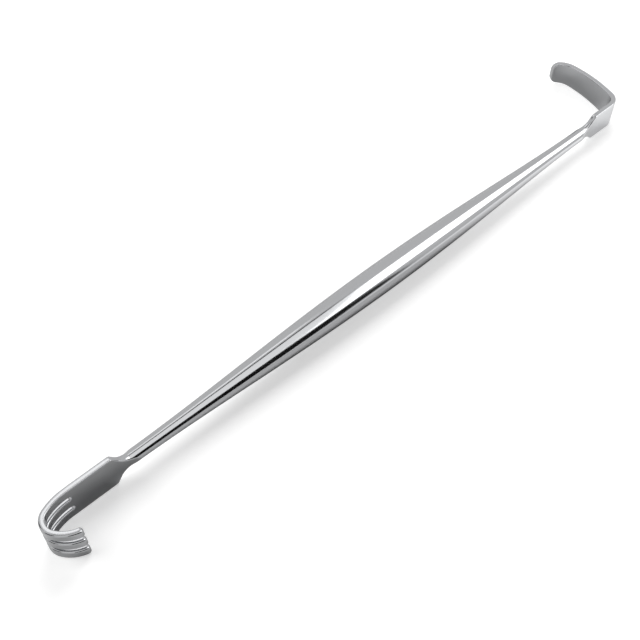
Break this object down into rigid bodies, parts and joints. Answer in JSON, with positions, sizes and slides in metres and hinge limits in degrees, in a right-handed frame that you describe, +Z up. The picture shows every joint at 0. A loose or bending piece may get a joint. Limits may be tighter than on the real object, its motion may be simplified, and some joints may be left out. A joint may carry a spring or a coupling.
{
  "type": "double-ended surgical hand retractor",
  "caption": "One-piece steel hand retractor: blunt pronged rake curled over at one end, solid right-angled blade at the other, slim spindle handle between.",
  "frame": {"origin": "centre of the part's box, on the surface it lies on", "axes": "+X along the handle from the rake to the blade, +Y the way the blade points and away from the prongs, +Z up across both widths"},
  "size_m": [0.1602, 0.0272, 0.0088],
  "materials": {
    "steel": "satin polish"
  },
  "bodies": {
    "root": {"retractor": "steel"}
  },
  "joints": []
}
